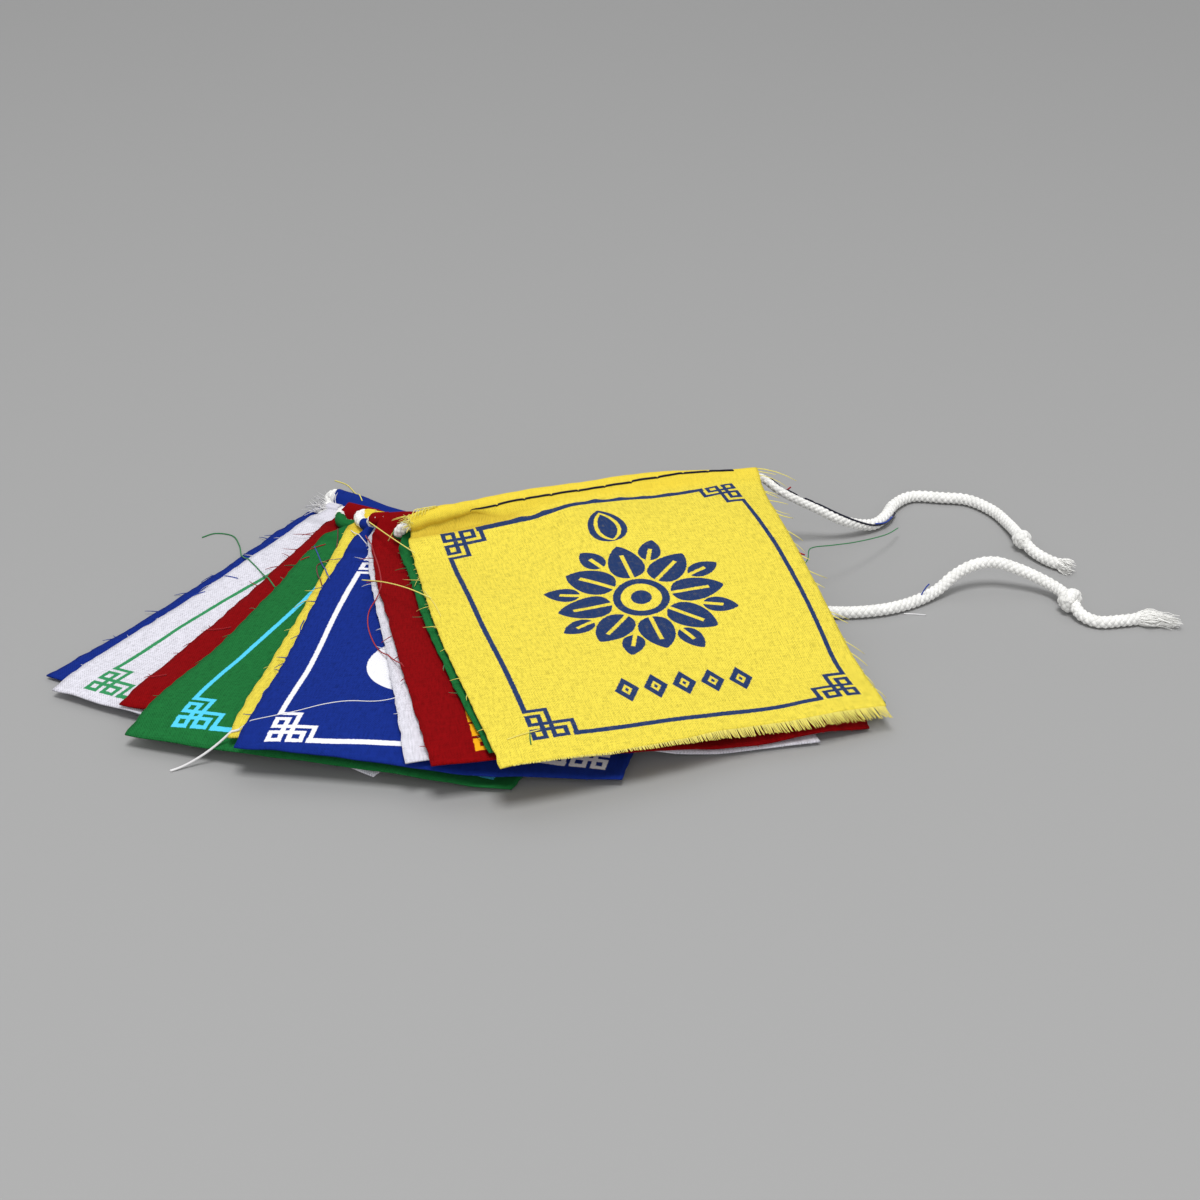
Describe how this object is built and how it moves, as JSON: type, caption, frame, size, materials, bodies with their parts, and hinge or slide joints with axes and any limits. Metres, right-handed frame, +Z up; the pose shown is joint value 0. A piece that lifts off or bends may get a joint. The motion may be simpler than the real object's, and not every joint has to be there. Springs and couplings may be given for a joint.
{
  "type": "prayer flag string",
  "caption": "Folded and fanned string of small cotton prayer flags in plain colours, their hems sewn over a braided cord with knotted, frayed ends.",
  "frame": {"origin": "centre of the box round the flags, on the table that they lie on", "axes": "+X to the right across the fan, towards the cord's free ends; +Y away from the viewer; +Z up"},
  "size_m": [0.2276, 0.1293, 0.0191],
  "materials": {
    "cotton_yellow": "thin plain-woven cotton, matt",
    "cotton_green": "thin plain-woven cotton, matt",
    "cotton_red": "thin plain-woven cotton, matt",
    "cotton_white": "thin plain-woven cotton, matt",
    "cotton_blue": "thin plain-woven cotton, matt",
    "cord_white": "round braided cotton cord, off-white"
  },
  "bodies": {
    "root": {"flag_01_yellow": "cotton_yellow", "flag_02_green": "cotton_green", "flag_03_red": "cotton_red", "flag_04_white": "cotton_white", "flag_05_blue": "cotton_blue", "flag_06_yellow": "cotton_yellow", "flag_07_green": "cotton_green", "flag_08_red": "cotton_red", "flag_09_white": "cotton_white", "flag_10_blue": "cotton_blue", "cord_turn_1_2": "cord_white", "cord_turn_2_3": "cord_white", "cord_turn_3_4": "cord_white", "cord_turn_4_5": "cord_white", "cord_turn_5_6": "cord_white", "cord_turn_6_7": "cord_white", "cord_turn_7_8": "cord_white", "cord_turn_8_9": "cord_white", "cord_turn_9_10": "cord_white", "cord_end_upper": "cord_white", "cord_end_lower": "cord_white"}
  },
  "joints": []
}
